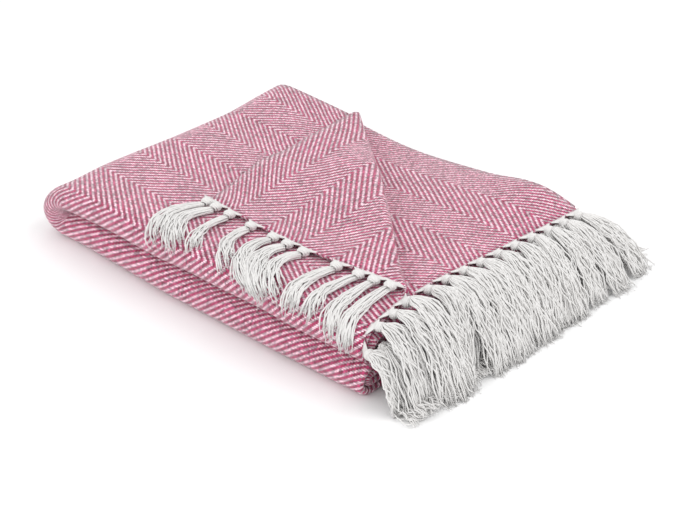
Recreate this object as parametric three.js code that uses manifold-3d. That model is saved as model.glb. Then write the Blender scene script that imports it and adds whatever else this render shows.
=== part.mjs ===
// Folded cotton throw with a knotted fringe at both ends.
// Millimetres, +Z up, standing on Z = 0. The fringe points to +X, the long fold faces -Y.
// The throw is one cloth: folded in half end to end, in half across, in half across again,
// and last in half lengthwise, which makes sixteen plies. One corner of the top ply is turned back.

import * as THREE from 'three';
import { mergeVertices } from 'three/addons/utils/BufferGeometryUtils.js';
import Module from 'manifold-3d';

const wasm = await Module();
wasm.setup();

// Cloth, laid flat: u runs along its length from end 1 to end 2, v across it
const clothLength = 1780;
const clothWidth = 1340;
const plyThickness = 2.8;
const plyPitch = 4.55;

// Folds, in the order they are made; each bend clears the plies that lie inside it
const pliesInPack = 16;
const bendRadius = {
  endToEnd: 0.5 * plyPitch,
  firstAcross: 1.5 * plyPitch,
  secondAcross: 3.5 * plyPitch,
  lengthwise: 7.5 * plyPitch,
};

// Pack, as folded
const packHeight = (pliesInPack - 1) * plyPitch + plyThickness;
const foldStart = {
  endToEnd: clothLength / 2 - (Math.PI / 2) * bendRadius.endToEnd,
  firstAcross: clothWidth / 2 - (Math.PI / 2) * bendRadius.firstAcross,
  secondAcross: clothWidth / 4 - (Math.PI / 2) * bendRadius.secondAcross,
  lengthwise: clothLength / 4 - (Math.PI / 2) * bendRadius.lengthwise,
};
const packLength = foldStart.lengthwise + bendRadius.lengthwise + plyThickness / 2;
const packDepth = foldStart.secondAcross + bendRadius.secondAcross + plyThickness / 2;
const frontBulge = bendRadius.secondAcross + plyThickness / 2;

// Turned-back corner: its crease runs from the back edge (P) to the fringed end (Q)
const crease = {
  px: 122,
  py: 325,
  qx: 402,
  qy: 76,
  radiusP: 9.5,
  radiusQ: 3.8,
  bow: 8,
  bowReach: 90,
  arcSteps: 4,
};
const creaseLength = Math.hypot(crease.qx - crease.px, crease.qy - crease.py);
const creaseNormal = {
  x: (crease.py - crease.qy) / creaseLength,
  y: (crease.qx - crease.px) / creaseLength,
};
const creaseAlong = { x: -creaseNormal.y, y: creaseNormal.x };
const flapRise = 1.1 * plyPitch;
const flapSettleRun = 80;

// How far each end of the cloth stops short of the pack's end, by place across the cloth
const endSetback = [
  { v: 0, end1: 38, end2: -5 },
  { v: 77.5, end1: 25, end2: 1 },
  { v: 155, end1: 17, end2: 7 },
  { v: 232.5, end1: 12, end2: 13 },
  { v: 310, end1: 9, end2: 7 },
  { v: 360, end1: 1, end2: 2 },
  { v: 670, end1: -2, end2: 1 },
  { v: 1005, end1: 2, end2: -1 },
  { v: 1340, end1: -1, end2: 3 },
];
const setbackRun = 330;
const secondPlyInset = 8;

// The turned-back corner's long edge bows out between the fringe and the crease
const edgeBow = { shift: 16, middle: 120, reach: 80, fadeIn: 40, depth: 155 };

// Rises and dips of the pack, as shares of its height
const swells = [
  { x: 0, y: 185, reachX: 150, reachY: 110, rise: -0.02 },
  { x: 5, y: 5, reachX: 55, reachY: 60, rise: -0.14 },
  { x: 20, y: 330, reachX: 60, reachY: 60, rise: 0.03 },
  { x: 215, y: 160, reachX: 120, reachY: 80, rise: -0.03 },
  { x: 210, y: 330, reachX: 100, reachY: 90, rise: -0.15 },
  { x: 380, y: 335, reachX: 42, reachY: 60, rise: 0.12 },
  { x: 455, y: 335, reachX: 42, reachY: 120, rise: -0.14 },
  { x: 445, y: 0, reachX: 60, reachY: 50, rise: -0.12 },
];
const sideBow = 4;
const noseTuck = { shift: 3, x: 70, reach: 60 };
const noseSpread = { shift: 12, reach: 90 };
const cornerPull = { shift: 11, middleY: 190, halfDepth: 150, run: 140 };
const cornerSlump = { shift: 14, fromX: 330, run: 100, fadeY: 200 };

// Fringe: each row hangs from a strip that runs along the cloth's edge, just off it
const strip = { gap: 0.75, width: 3, past: 3 };
const lockGap = 1.6;

// A knot on the cloth's edge: how far out, how wide and high, and where its base lies under the ply
const knotStations = [
  { out: 2, width: 4, height: 2.4, base: -1.2 },
  { out: 4, width: 8.5, height: 6, base: -1.8 },
  { out: 7.5, width: 12, height: 8.6, base: -2.3 },
  { out: 11.5, width: 6.5, height: 5.4, base: -1.6 },
];
const knottedLock = { spacing: 4.4, width: 3.6, endWidth: 2.7, thickness: 2.6, tipThickness: 1.8 };
const sideLockRoot = { towardsWaist: 0.3, shift: 2, rise: 1, width: 3 };
const spreadAtKnot = 0.5;
const underLock = { perRow: 8, out: 8, rootWidth: 4, knotWidth: 8, width: 7, tipWidth: 11, thickness: 2.3 };

// Steps of each stretch of cloth between its bends
const steps = { lengthStraight: 5, widthStraight: 4, lengthwise: 8, endToEnd: 4, first: 5, second: 6 };

const colours = { cotton: 0xc4698f, fringe: 0xe6e4e2 };

// Folding

function foldOver(point, axis, start, radius) {
  const beyond = point[axis] - start;
  if (beyond <= 0) {
    return;
  }
  const angle = Math.min(beyond / radius, Math.PI);
  const arm = radius - point.z;
  point[axis] = start + arm * Math.sin(angle) - Math.max(0, beyond - Math.PI * radius);
  point.z = radius - arm * Math.cos(angle);
}

function isTopPly(u, v) {
  return u < clothLength / 4 && v < clothWidth / 4;
}

// How far a flat point lies past the crease, towards the corner; only the top ply reaches past it
function beyondCrease(u, v) {
  const x = packLength - u;
  const y = packDepth - v;
  return (x - crease.px) * creaseNormal.x + (y - crease.py) * creaseNormal.y;
}

// How far along the crease a flat point lies, as a share of the crease, from P to Q
function alongCrease(u, v) {
  const x = packLength - u;
  const y = packDepth - v;
  return -((x - crease.px) * creaseAlong.x + (y - crease.py) * creaseAlong.y) / creaseLength;
}

function creaseRadius(share) {
  return THREE.MathUtils.lerp(crease.radiusP, crease.radiusQ, share);
}

function turnBack(point, beyond, radius) {
  const rise = point.z - (packHeight - plyThickness / 2);
  const roll = Math.PI * radius;
  const angle = Math.min(beyond / radius, Math.PI);
  const arm = radius - rise;
  const lying = Math.max(0, beyond - roll);
  const shift = arm * Math.sin(angle) - lying - beyond;
  const eased = THREE.MathUtils.smoothstep(lying, 0, flapSettleRun);
  point.x += shift * creaseNormal.x;
  point.y += shift * creaseNormal.y;
  point.z = packHeight - plyThickness / 2 + radius - arm * Math.cos(angle);
  point.z -= (2 * radius - flapRise) * eased;
}

// The crease bows outwards, and takes the top ply on both sides with it
function bowCrease(point, u, v) {
  const share = THREE.MathUtils.clamp(alongCrease(u, v), 0, 1);
  const reach = Math.min(1, Math.abs(beyondCrease(u, v)) / crease.bowReach);
  const shift = crease.bow * Math.sin(Math.PI * share) * (1 - reach) * (1 - reach);
  point.x += shift * creaseNormal.x;
  point.y += shift * creaseNormal.y;
}

function bell(dx, dy) {
  return Math.exp(-dx * dx - dy * dy);
}

// The pack sinks, swells and leans as soft cloth does, and stays flat on the floor
function settle(point) {
  const low = THREE.MathUtils.clamp(1 - point.z / packHeight, 0, 1);
  point.x -= noseSpread.shift * low * bell(point.x / noseSpread.reach, point.y / noseSpread.reach);
  let share = 1;
  for (const { x, y, reachX, reachY, rise } of swells) {
    share += rise * bell((point.x - x) / reachX, (point.y - y) / reachY);
  }
  const high = Math.max(0, (2 * point.z) / packHeight - 1);
  const along = THREE.MathUtils.clamp(point.x / packLength, 0, 1);
  const nearFront = Math.max(0, 1 - point.y / cornerSlump.fadeY);
  const nearEnd = THREE.MathUtils.clamp((point.x - cornerSlump.fromX) / cornerSlump.run, 0, 1);
  const tuck = noseTuck.shift * Math.exp(-(((point.x - noseTuck.x) / noseTuck.reach) ** 2));
  const offMiddle = (point.y - cornerPull.middleY) / cornerPull.halfDepth;
  const nearFold = THREE.MathUtils.clamp(1 - point.x / cornerPull.run, 0, 1);
  point.y += (tuck - sideBow * Math.sin(Math.PI * along)) * low * nearFront;
  point.x -= cornerPull.shift * nearFold * offMiddle * offMiddle;
  point.y += cornerSlump.shift * nearEnd * nearEnd * nearFront * high;
  point.z *= share;
  return point;
}

// A point of the cloth: w is its height in the cloth's thickness, from the middle of the sheet
function place(u, v, w) {
  const point = new THREE.Vector3(u, v, w);
  foldOver(point, 'x', foldStart.endToEnd, bendRadius.endToEnd);
  foldOver(point, 'y', foldStart.firstAcross, bendRadius.firstAcross);
  foldOver(point, 'y', foldStart.secondAcross, bendRadius.secondAcross);
  foldOver(point, 'x', foldStart.lengthwise, bendRadius.lengthwise);
  point.set(packLength - point.x, packDepth - point.y, packHeight - plyThickness / 2 - point.z);
  const beyond = beyondCrease(u, v);
  if (beyond > 0) {
    turnBack(point, beyond, creaseRadius(alongCrease(u, v)));
  }
  if (beyond > -crease.bowReach && isTopPly(u, v)) {
    bowCrease(point, u, v);
  }
  return settle(point);
}

// Outline of the cloth

function setback(v, end) {
  const next = endSetback.findIndex((row) => row.v >= v);
  if (next <= 0) {
    return endSetback[next === 0 ? 0 : endSetback.length - 1][end];
  }
  const a = endSetback[next - 1];
  const b = endSetback[next];
  return THREE.MathUtils.mapLinear(v, a.v, b.v, a[end], b[end]);
}

function outline(u, v) {
  const fromEnd1 = Math.max(0, 1 - u / setbackRun);
  const fromEnd2 = Math.max(0, 1 - (clothLength - u) / setbackRun);
  const inset = secondPlyInset * Math.min(1, 2 * fromEnd2) * Math.max(0, 1 - v / foldStart.secondAcross);
  const bowed = bell((u - edgeBow.middle) / edgeBow.reach, 0) * Math.min(1, u / edgeBow.fadeIn);
  const bow = edgeBow.shift * bowed * Math.max(0, 1 - v / edgeBow.depth);
  return {
    u: u + setback(v, 'end1') * fromEnd1 - setback(v, 'end2') * fromEnd2,
    v: v + inset - bow,
  };
}

function stepsBetween(stops) {
  const values = [stops[0].at];
  for (let i = 1; i < stops.length; i += 1) {
    const from = stops[i - 1].at;
    for (let k = 1; k <= stops[i].steps; k += 1) {
      values.push(THREE.MathUtils.lerp(from, stops[i].at, k / stops[i].steps));
    }
  }
  return values;
}

// Stops along half of a measure, mirrored to the other half, with a bend in the middle
function mirroredStops(total, quarterStart, halfStart, straight, quarterSteps, halfSteps) {
  return [
    { at: 0 },
    { at: quarterStart, steps: straight },
    { at: total / 2 - quarterStart, steps: quarterSteps },
    { at: halfStart, steps: straight },
    { at: total - halfStart, steps: halfSteps },
    { at: total / 2 + quarterStart, steps: straight },
    { at: total - quarterStart, steps: quarterSteps },
    { at: total, steps: straight },
  ];
}

// Meshing

// Splits a flat cell where the turned-back cloth has gone a given angle round its roll
function splitByLine(polygon, angle) {
  const past = (corner) => beyondCrease(corner.u, corner.v)
    - angle * creaseRadius(alongCrease(corner.u, corner.v));
  const below = [];
  const above = [];
  polygon.forEach((a, i) => {
    const b = polygon[(i + 1) % polygon.length];
    const da = past(a);
    const db = past(b);
    (da < 0 ? below : above).push(a);
    if (da < 0 !== db < 0) {
      const t = da / (da - db);
      const cut = { u: a.u + t * (b.u - a.u), v: a.v + t * (b.v - a.v) };
      below.push(cut);
      above.push(cut);
    }
  });
  return [below, above].filter((piece) => piece.length > 2);
}

function splitAtCrease(polygon) {
  let pieces = [polygon];
  for (let k = 0; k <= crease.arcSteps; k += 1) {
    const angle = (k / crease.arcSteps) * Math.PI;
    pieces = pieces.flatMap((piece) => splitByLine(piece, angle));
  }
  return pieces;
}

// A closed sheet over flat cells: both faces, and a wall along every open edge
function sheetGeometry(cells) {
  const keys = new Map();
  const flat = [];
  const indexOf = (corner) => {
    const key = `${Math.round(corner.u * 1000)},${Math.round(corner.v * 1000)}`;
    if (!keys.has(key)) {
      keys.set(key, flat.length);
      flat.push(corner);
    }
    return keys.get(key);
  };
  const faces = [];
  const edges = new Map();
  for (const cell of cells) {
    const corners = cell.map(indexOf).filter((id, i, all) => id !== all[(i + 1) % all.length]);
    for (let i = 1; i < corners.length - 1; i += 1) {
      faces.push([corners[0], corners[i], corners[i + 1]]);
    }
    corners.forEach((a, i) => {
      const b = corners[(i + 1) % corners.length];
      edges.set(`${a},${b}`, [a, b]);
    });
  }
  const count = flat.length;
  const positions = [];
  for (const w of [-plyThickness / 2, plyThickness / 2]) {
    for (const corner of flat) {
      positions.push(...place(corner.u, corner.v, w).toArray());
    }
  }
  const index = [];
  for (const [a, b, c] of faces) {
    index.push(a, b, c);
    index.push(a + count, c + count, b + count);
  }
  for (const [a, b] of edges.values()) {
    if (!edges.has(`${b},${a}`)) {
      index.push(a, a + count, b);
      index.push(b, a + count, b + count);
    }
  }
  return indexedGeometry(positions, index);
}

function indexedGeometry(positions, index) {
  const geometry = new THREE.BufferGeometry();
  geometry.setAttribute('position', new THREE.Float32BufferAttribute(positions, 3));
  geometry.setIndex(index);
  if (signedVolume(geometry) < 0) {
    for (let i = 0; i < index.length; i += 3) {
      [index[i + 1], index[i + 2]] = [index[i + 2], index[i + 1]];
    }
    geometry.setIndex(index);
  }
  return geometry;
}

function signedVolume(geometry) {
  const position = geometry.getAttribute('position');
  const index = geometry.getIndex();
  const [a, b, c] = [new THREE.Vector3(), new THREE.Vector3(), new THREE.Vector3()];
  let volume = 0;
  for (let i = 0; i < index.count; i += 3) {
    a.fromBufferAttribute(position, index.getX(i));
    b.fromBufferAttribute(position, index.getX(i + 1));
    c.fromBufferAttribute(position, index.getX(i + 2));
    volume += a.dot(b.cross(c)) / 6;
  }
  return volume;
}

function gridCells(uValues, vValues, shape) {
  const cells = [];
  for (let i = 0; i < uValues.length - 1; i += 1) {
    for (let j = 0; j < vValues.length - 1; j += 1) {
      cells.push([
        shape(uValues[i], vValues[j]),
        shape(uValues[i + 1], vValues[j]),
        shape(uValues[i + 1], vValues[j + 1]),
        shape(uValues[i], vValues[j + 1]),
      ]);
    }
  }
  return cells;
}

function blanketGeometry() {
  const uStops = mirroredStops(
    clothLength, foldStart.lengthwise, foldStart.endToEnd,
    steps.lengthStraight, steps.lengthwise, steps.endToEnd,
  );
  const vStops = mirroredStops(
    clothWidth, foldStart.secondAcross, foldStart.firstAcross,
    steps.widthStraight, steps.second, steps.first,
  );
  const cells = gridCells(stepsBetween(uStops), stepsBetween(vStops), outline);
  return sheetGeometry(cells.flatMap(splitAtCrease));
}

// Fringe pieces

function toSolid(geometry) {
  const bare = geometry.clone();
  bare.deleteAttribute('normal');
  bare.deleteAttribute('uv');
  const merged = mergeVertices(bare, 1e-4);
  const vertProperties = new Float32Array(merged.getAttribute('position').array);
  const triVerts = new Uint32Array(merged.getIndex().array);
  return new wasm.Manifold(new wasm.Mesh({ numProp: 3, vertProperties, triVerts }));
}

function fromSolid(solid) {
  const mesh = solid.getMesh();
  return indexedGeometry(Array.from(mesh.vertProperties), Array.from(mesh.triVerts));
}

function edgePoint(end, v, distance, w = 0) {
  const edge = end === 'end1' ? 0 : clothLength;
  const out = end === 'end1' ? -distance : distance;
  const corner = outline(edge, v);
  return place(corner.u + out, corner.v, w);
}

function stripGeometry(end, from, to, count) {
  const distances = [strip.gap, strip.gap + strip.width];
  const vValues = stepsBetween([{ at: from }, { at: to, steps: count }]);
  const sign = end === 'end1' ? -1 : 1;
  const edge = end === 'end1' ? 0 : clothLength;
  const cells = gridCells(distances, vValues, (distance, v) => {
    const corner = outline(edge, v);
    return { u: corner.u + sign * distance, v: corner.v };
  });
  return sheetGeometry(cells.flatMap(splitAtCrease));
}

// Below this level share of its run, a lock hangs too steeply to turn with its run
const levelEnough = 0.4;

// A lock of yarns along a path: its flat side lies down, three or four sided.
// Each station has its point (the middle of the flat side), width and height.
function lockGeometry(stations, across, sides) {
  const corners = {
    3: [[-0.5, 0], [0.5, 0], [0, 1]],
    4: [[-0.5, 0], [0.5, 0], [0.3, 1], [-0.3, 1]],
  }[sides];
  const positions = [];
  stations.forEach((station, i) => {
    const before = stations[Math.max(0, i - 1)].point;
    const after = stations[Math.min(stations.length - 1, i + 1)].point;
    const tangent = after.clone().sub(before).normalize();
    const level = new THREE.Vector3(tangent.x, tangent.y, 0);
    const side = across.clone();
    if (level.length() > levelEnough) {
      level.normalize();
      side.addScaledVector(level, -across.dot(level)).normalize();
    }
    const up = side.clone().cross(tangent).normalize();
    if (up.dot(upwards(across, tangent)) < 0) {
      up.negate();
    }
    for (const [x, y] of corners) {
      const corner = station.point.clone();
      corner.addScaledVector(side, x * station.width);
      corner.addScaledVector(up, y * station.height);
      positions.push(...corner.toArray());
    }
  });
  const index = [];
  for (let k = 1; k < sides - 1; k += 1) {
    index.push(0, k, k + 1);
  }
  for (let i = 0; i < stations.length - 1; i += 1) {
    const a = sides * i;
    for (let k = 0; k < sides; k += 1) {
      const m = (k + 1) % sides;
      index.push(a + k, a + sides + k, a + m);
      index.push(a + m, a + sides + k, a + sides + m);
    }
  }
  const last = sides * (stations.length - 1);
  for (let k = 1; k < sides - 1; k += 1) {
    index.push(last, last + k + 1, last + k);
  }
  return indexedGeometry(positions, index);
}

// The way that a falling lock's upper face looks: up, and outwards where it hangs
function upwards(across, tangent) {
  const outwards = new THREE.Vector3(Math.abs(across.y), -Math.abs(across.x), 0);
  return new THREE.Vector3(0, 0, 1).addScaledVector(outwards, Math.max(0, -tangent.z));
}

// A tassel: a knot with its middle lock, and a lock on each side that starts in the knot
function tasselSolids(end, v, across, pathOf) {
  const knot = knotStations.map((station) => {
    const point = edgePoint(end, v, station.out);
    point.z += station.base;
    return { point, width: station.width, height: station.height };
  });
  const [heart, waist] = knot.slice(-2).map((station) => station.point);
  const { spacing, width, endWidth, thickness, tipThickness } = knottedLock;
  const solids = [];
  for (const offset of [-1, 0, 1]) {
    const path = pathOf(waist, offset * spacing).map(({ point, share }, i, all) => ({
      point,
      width: i > 0 && i < all.length - 1 ? width : endWidth,
      height: THREE.MathUtils.lerp(thickness, tipThickness, share),
    }));
    if (offset === 0) {
      solids.push(toSolid(lockGeometry([...knot, ...path], across, 4)));
    } else {
      const point = heart.clone().lerp(waist, sideLockRoot.towardsWaist);
      point.addScaledVector(across, sideLockRoot.shift * offset);
      point.z += sideLockRoot.rise;
      const start = { point, width: sideLockRoot.width, height: thickness };
      solids.push(toSolid(lockGeometry([start, ...path], across, 3)));
    }
  }
  return solids;
}

// Moves a path seen from above sideways. It has less of the offset near the knot.
function beside(path, offset) {
  return path.map((stop, i) => {
    const before = path[Math.max(0, i - 1)];
    const after = path[Math.min(path.length - 1, i + 1)];
    const run = Math.hypot(after.x - before.x, after.y - before.y);
    const shift = (offset * Math.min(1, stop.share + spreadAtKnot)) / run;
    return {
      share: stop.share,
      x: stop.x - shift * (after.y - before.y),
      y: stop.y + shift * (after.x - before.x),
    };
  });
}

// Fringed end: the locks fall from the knots to the floor, and drift outwards at the two corners

const backDrift = { fromY: 235, run: 85, most: 62 };
const frontDrift = { toY: 60, most: 7 };

function drift(y) {
  const back = THREE.MathUtils.clamp((y - backDrift.fromY) / backDrift.run, 0, 1);
  const front = Math.max(0, 1 - y / frontDrift.toY);
  return backDrift.most * back * back - frontDrift.most * front;
}

function fallPath(start, drop, offset) {
  const path = drop.shares.map((share) => ({
    share,
    x: THREE.MathUtils.lerp(start.x, drop.endX, share),
    y: start.y + drift(start.y) * share,
  }));
  const fallX = Math.max(start.x, drop.fallX);
  return beside(path, offset).map(({ x, y, share }) => {
    const fallen = THREE.MathUtils.clamp((x - fallX) / (drop.floorX - fallX), 0, 1);
    const z = share < 1 ? drop.level + (start.z - drop.level) * (1 - fallen ** drop.curve) : drop.level;
    return { point: new THREE.Vector3(x, y, z), share };
  });
}

const knottedFall = { fallX: 438, level: 0, curve: 1.7, shares: [0.3, 0.55, 0.8, 1] };
const knottedRows = [
  { node: 'fringe_front', end: 'end1', v: [268, 289, 311, 337], endX: [492, 487, 477, 462] },
  {
    node: 'fringe_second',
    end: 'end2',
    v: [8, 31, 55, 80, 105, 130, 156, 181, 206, 231],
    endX: [494, 497, 492, 494, 490, 493, 489, 492, 494, 490],
  },
];

function knottedFringe(row) {
  const across = new THREE.Vector3(0, 1, 0);
  const [first, last] = [row.v[0] - strip.past, row.v.at(-1) + strip.past];
  const solids = [toSolid(stripGeometry(row.end, first, last, row.v.length + 2))];
  row.v.forEach((v, i) => {
    const drop = { ...knottedFall, endX: row.endX[i], floorX: row.endX[i] };
    solids.push(...tasselSolids(row.end, v, across, (start, offset) => fallPath(start, drop, offset)));
  });
  return fromSolid(wasm.Manifold.union(solids));
}

// Fringe of the plies below: rows in pairs, the locks of one row between those of the other
const underFall = { fallX: 0, curve: 1.6, shares: [0.25, 0.5, 0.75, 1] };
const underRows = [
  { node: 'fringe_row_3', end: 'end2', from: 1066, to: 1330, shift: 0, endX: 479, floorX: 470, level: 5.8 },
  { node: 'fringe_row_4', end: 'end1', from: 1066, to: 1330, shift: 1, endX: 479, floorX: 470, level: 5.8 },
  { node: 'fringe_row_5', end: 'end1', from: 945, to: 681, shift: 0, endX: 480, floorX: 465, level: 2.9 },
  { node: 'fringe_row_6', end: 'end2', from: 945, to: 681, shift: 1, endX: 480, floorX: 465, level: 2.9 },
  { node: 'fringe_row_7', end: 'end2', from: 395, to: 659, shift: 0, endX: 481, floorX: 458, level: 0 },
  { node: 'fringe_row_8', end: 'end1', from: 395, to: 659, shift: 1, endX: 481, floorX: 458, level: 0 },
];

function underFringe(row) {
  const across = new THREE.Vector3(0, 1, 0);
  const { perRow, out, rootWidth, knotWidth, width, tipWidth, thickness: height } = underLock;
  const widths = [width, width, (width + tipWidth) / 2, tipWidth];
  const drop = { ...underFall, ...row };
  const [first, last] = [Math.min(row.from, row.to), Math.max(row.from, row.to)];
  const solids = [toSolid(stripGeometry(row.end, first, last, perRow))];
  for (let i = 0; i < perRow; i += 1) {
    const v = THREE.MathUtils.lerp(row.from, row.to, (i + 0.25 + 0.5 * row.shift) / perRow);
    const base = new THREE.Vector3(0, 0, -height / 2);
    const root = edgePoint(row.end, v, strip.gap + strip.width / 2).add(base);
    const start = edgePoint(row.end, v, out).add(base);
    const stations = [
      { point: root, width: rootWidth, height },
      { point: start, width: knotWidth, height },
      ...fallPath(start, drop, 0).map(({ point }, k) => ({ point, width: widths[k], height })),
    ];
    solids.push(toSolid(lockGeometry(stations, across, 3)));
  }
  return fromSolid(wasm.Manifold.union(solids));
}

// Turned-back corner: its locks lie on the top ply and bend down over the front fold. v is a
// knot's place on the edge, middle and tip are drifts along the pack, and endY is where the
// lock ends on the front fold if that is rolled out flat.
const flapTassels = [
  { v: 3, middle: -16, tip: -6, endY: 5 },
  { v: 17, middle: -11, tip: 7, endY: 4 },
  { v: 38, middle: -2, tip: 10, endY: 8 },
  { v: 70, middle: 0, tip: 22, endY: 7 },
  { v: 101, middle: -5, tip: 21, endY: 2 },
  { v: 120, middle: -3, tip: 21, endY: 0 },
  { v: 141, middle: -4, tip: 21, endY: 3 },
  { v: 182, middle: -8, tip: 2, endY: 0 },
  { v: 207, middle: -9, tip: -4, endY: 2 },
  { v: 224, middle: -4, tip: 5, endY: -4 },
  { v: 241, middle: -3, tip: 4, endY: -6 },
];
const flapMiddleY = 36;
const flapEdgeY = frontBulge + 2;

function overFront(x, y, clearance) {
  const angle = Math.min(Math.max(0, frontBulge - y) / frontBulge, Math.PI / 2);
  const arm = frontBulge + clearance;
  const point = new THREE.Vector3(x, y, packHeight + clearance);
  if (angle > 0) {
    point.y = frontBulge - arm * Math.sin(angle);
    point.z = packHeight - frontBulge + arm * Math.cos(angle);
  }
  return settle(point);
}

function flapPath(start, tassel, offset) {
  const { lerp } = THREE.MathUtils;
  const { middle, tip, endY } = tassel;
  const path = [
    { share: 0.25, x: start.x + middle / 2, y: lerp(start.y, flapMiddleY, 0.5) },
    { share: 0.5, x: start.x + middle, y: flapMiddleY },
    { share: 0.7, x: start.x + lerp(middle, tip, 0.3), y: flapEdgeY },
    { share: 0.85, x: start.x + lerp(middle, tip, 0.65), y: lerp(flapEdgeY, endY, 0.5) },
    { share: 1, x: start.x + tip, y: endY },
  ];
  return beside(path, offset).map(({ x, y, share }) => ({ point: overFront(x, y, lockGap), share }));
}

function flapFringe() {
  const across = new THREE.Vector3(1, 0, 0);
  const first = flapTassels[0].v - strip.past;
  const last = flapTassels.at(-1).v + strip.past;
  const solids = [toSolid(stripGeometry('end1', first, last, flapTassels.length))];
  for (const tassel of flapTassels) {
    const pathOf = (start, offset) => flapPath(start, tassel, offset);
    solids.push(...tasselSolids('end1', tassel.v, across, pathOf));
  }
  return fromSolid(wasm.Manifold.union(solids));
}

// Assembly

function addPiece(group, name, geometry, colour, roughness) {
  geometry.computeVertexNormals();
  const material = new THREE.MeshStandardMaterial({ color: colour, roughness, metalness: 0 });
  const mesh = new THREE.Mesh(geometry, material);
  mesh.name = name;
  group.add(mesh);
}

const throwGroup = new THREE.Group();
addPiece(throwGroup, 'blanket', blanketGeometry(), colours.cotton, 0.95);
addPiece(throwGroup, 'fringe_flap', flapFringe(), colours.fringe, 0.9);
for (const row of knottedRows) {
  addPiece(throwGroup, row.node, knottedFringe(row), colours.fringe, 0.9);
}
for (const row of underRows) {
  addPiece(throwGroup, row.node, underFringe(row), colours.fringe, 0.9);
}

// The origin is at the middle of the throw's footprint, on the surface it lies on
const extent = new THREE.Box3().setFromObject(throwGroup);
throwGroup.position.set(-(extent.min.x + extent.max.x) / 2, -(extent.min.y + extent.max.y) / 2, 0);

export default throwGroup;
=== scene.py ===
"""A folded cotton throw in pink and white herringbone, with a knotted white fringe.

The throw is one cloth. It is folded in half end to end, in half across, in half across again,
and last in half lengthwise. One corner of the top ply is turned back over the pack.

Cloth and fringe are worked out in millimetres in the pack's own frame: x runs from the long
fold's end to the fringe, y from the front fold to the back edge, z up from the floor.
"""

import math

import bpy
import numpy as np
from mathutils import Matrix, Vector


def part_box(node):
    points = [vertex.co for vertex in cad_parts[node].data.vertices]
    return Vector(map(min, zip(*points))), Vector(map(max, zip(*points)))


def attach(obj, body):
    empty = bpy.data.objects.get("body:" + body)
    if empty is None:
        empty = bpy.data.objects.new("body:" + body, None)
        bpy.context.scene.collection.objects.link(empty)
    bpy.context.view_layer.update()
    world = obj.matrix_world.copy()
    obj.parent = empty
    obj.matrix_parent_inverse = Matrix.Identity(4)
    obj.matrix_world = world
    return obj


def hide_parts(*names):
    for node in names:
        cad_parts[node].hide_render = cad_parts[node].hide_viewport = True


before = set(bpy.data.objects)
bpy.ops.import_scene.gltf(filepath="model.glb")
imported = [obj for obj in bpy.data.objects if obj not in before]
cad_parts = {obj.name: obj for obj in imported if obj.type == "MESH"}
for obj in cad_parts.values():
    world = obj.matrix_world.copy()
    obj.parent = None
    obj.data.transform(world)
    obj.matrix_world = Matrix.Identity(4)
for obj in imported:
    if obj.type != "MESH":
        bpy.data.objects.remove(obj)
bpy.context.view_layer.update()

# Cloth, laid flat: u runs along its length from end 1 to end 2, v across it (mm)
CLOTH_LENGTH = 1780.0
CLOTH_WIDTH = 1340.0
PLY_THICKNESS = 2.8
PLY_PITCH = 4.55
PLIES = 16

# Bends, in the order the folds are made, and where each bend starts on the flat cloth
BEND_RADIUS = {
    "end to end": 0.5 * PLY_PITCH,
    "first across": 1.5 * PLY_PITCH,
    "second across": 3.5 * PLY_PITCH,
    "lengthwise": 7.5 * PLY_PITCH,
}
FOLD_START = {
    "end to end": CLOTH_LENGTH / 2 - math.pi / 2 * BEND_RADIUS["end to end"],
    "first across": CLOTH_WIDTH / 2 - math.pi / 2 * BEND_RADIUS["first across"],
    "second across": CLOTH_WIDTH / 4 - math.pi / 2 * BEND_RADIUS["second across"],
    "lengthwise": CLOTH_LENGTH / 4 - math.pi / 2 * BEND_RADIUS["lengthwise"],
}
PACK_HEIGHT = (PLIES - 1) * PLY_PITCH + PLY_THICKNESS
PACK_LENGTH = FOLD_START["lengthwise"] + BEND_RADIUS["lengthwise"] + PLY_THICKNESS / 2
PACK_DEPTH = FOLD_START["second across"] + BEND_RADIUS["second across"] + PLY_THICKNESS / 2
FRONT_BULGE = BEND_RADIUS["second across"] + PLY_THICKNESS / 2

# Turned-back corner: its crease runs from the back edge (P) to the fringed end (Q)
CREASE_P = np.array([122.0, 325.0])
CREASE_Q = np.array([402.0, 76.0])
CREASE_RADIUS_P = 9.5
CREASE_RADIUS_Q = 3.8
CREASE_BOW = 8.0
CREASE_BOW_REACH = 90.0
CREASE_STEPS = 12
CREASE_LENGTH = float(np.hypot(*(CREASE_Q - CREASE_P)))
CREASE_NORMAL = np.array([CREASE_P[1] - CREASE_Q[1], CREASE_Q[0] - CREASE_P[0]]) / CREASE_LENGTH
CREASE_ALONG = np.array([-CREASE_NORMAL[1], CREASE_NORMAL[0]])
FLAP_RISE = 1.1 * PLY_PITCH
FLAP_SETTLE_RUN = 80.0

# How far each end of the cloth stops short of the pack's end: place across, end 1, end 2
END_SETBACK = np.array([
    (0, 38, -5),
    (77.5, 25, 1),
    (155, 17, 7),
    (232.5, 12, 13),
    (310, 9, 7),
    (360, 1, 2),
    (670, -2, 1),
    (1005, 2, -1),
    (1340, -1, 3),
], float)
SETBACK_RUN = 330.0
SECOND_PLY_INSET = 8.0
# The turned-back corner's long edge bows out between the fringe and the crease
EDGE_BOW, EDGE_BOW_MIDDLE, EDGE_BOW_REACH = 16.0, 120.0, 80.0
EDGE_BOW_FADE_IN, EDGE_BOW_DEPTH = 40.0, 155.0

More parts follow.
